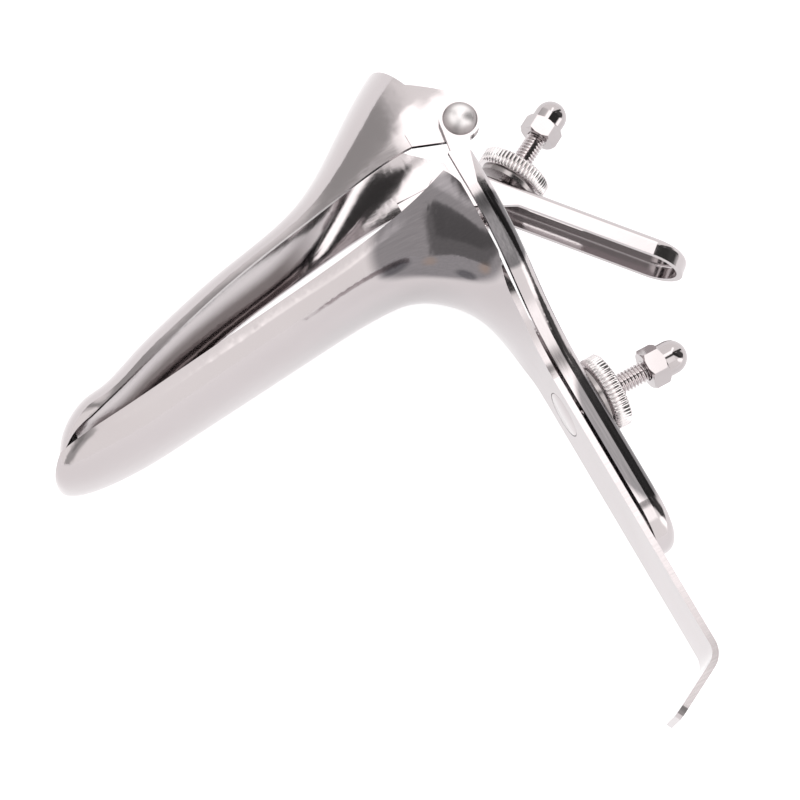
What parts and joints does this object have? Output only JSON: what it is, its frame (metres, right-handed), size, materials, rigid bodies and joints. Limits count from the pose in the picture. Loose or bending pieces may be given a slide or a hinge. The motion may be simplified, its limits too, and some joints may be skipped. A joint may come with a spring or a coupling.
{
  "type": "bivalve speculum",
  "caption": "Two hinged trough blades on a flat bent handle, with a forked slotted yoke, a slotted thumb lever and threaded studs with knurled thumb nuts and cap nuts",
  "frame": {"origin": "on the flat front face of the handle, 80 mm below the pivot axis and on the middle plane between the two pivot rivets", "axes": "+X points from the handle to the blade tips, square to the handle's face; +Y runs down the handle away from the pivot; +Z is across the instrument, away from the side with the thumb lever"},
  "size_m": [0.13, 0.1337, 0.0551],
  "materials": {
    "lower_blade": "polished stainless steel",
    "yoke": "polished stainless steel",
    "upper_blade": "polished stainless steel",
    "thumb_lever": "polished stainless steel",
    "near_pivot_rivet": "polished stainless steel",
    "far_pivot_rivet": "polished stainless steel",
    "handle_stud": "turned stainless steel",
    "handle_washer": "turned stainless steel",
    "handle_thumb_nut": "turned stainless steel",
    "handle_cap_nut": "polished stainless steel",
    "lever_stud": "turned stainless steel",
    "lever_stud_rivet": "turned stainless steel",
    "lever_washer": "turned stainless steel",
    "lever_thumb_nut": "turned stainless steel",
    "lever_cap_nut": "polished stainless steel"
  },
  "bodies": {
    "lower": {"lower_blade": "lower_blade", "handle_stud": "handle_stud", "handle_cap_nut": "handle_cap_nut"},
    "yoke": {"yoke": "yoke", "near_pivot_rivet": "near_pivot_rivet", "far_pivot_rivet": "far_pivot_rivet", "lever_stud_rivet": "lever_stud_rivet"},
    "upper": {"upper_blade": "upper_blade", "thumb_lever": "thumb_lever"},
    "lever_bolt": {"lever_stud": "lever_stud", "lever_cap_nut": "lever_cap_nut"},
    "handle_washer": {"handle_washer": "handle_washer"},
    "handle_nut": {"handle_thumb_nut": "handle_thumb_nut"},
    "lever_washer": {"lever_washer": "lever_washer"},
    "lever_nut": {"lever_thumb_nut": "lever_thumb_nut"}
  },
  "joints": [
    {"name": "yoke_slide", "type": "slide", "parent": "lower", "child": "yoke", "axis": [0, -1, 0], "range_m": [0, 0.02]},
    {"name": "upper_blade_hinge", "type": "hinge", "parent": "yoke", "child": "upper", "pos_m": [-0.0067, -0.08, 0], "axis": [0, 0, -1], "range_deg": [0, 25]},
    {"name": "lever_stud_swing", "type": "hinge", "parent": "yoke", "child": "lever_bolt", "pos_m": [-0.0014, -0.06737, -0.0243], "axis": [0, 0, -1], "range_deg": [0, 12.5]},
    {"name": "handle_nut_travel", "type": "slide", "parent": "lower", "child": "handle_washer", "axis": [-1, 0, 0], "range_m": [0, 0.006]},
    {"name": "handle_nut_turn", "type": "hinge", "parent": "handle_washer", "child": "handle_nut", "pos_m": [-0.0067, -0.0267, 0], "axis": [-1, 0, 0], "continuous": true},
    {"name": "lever_nut_travel", "type": "slide", "parent": "lever_bolt", "child": "lever_washer", "axis": [-0.8746, -0.4848, 0], "range_m": [0, 0.0055]},
    {"name": "lever_nut_turn", "type": "hinge", "parent": "lever_washer", "child": "lever_nut", "pos_m": [-0.0014, -0.06737, -0.0243], "axis": [-0.8746, -0.4848, 0], "continuous": true}
  ],
  "couplings": [
    {"joint": "lever_stud_swing", "follows": "upper_blade_hinge", "ratio": 0.5}
  ]
}
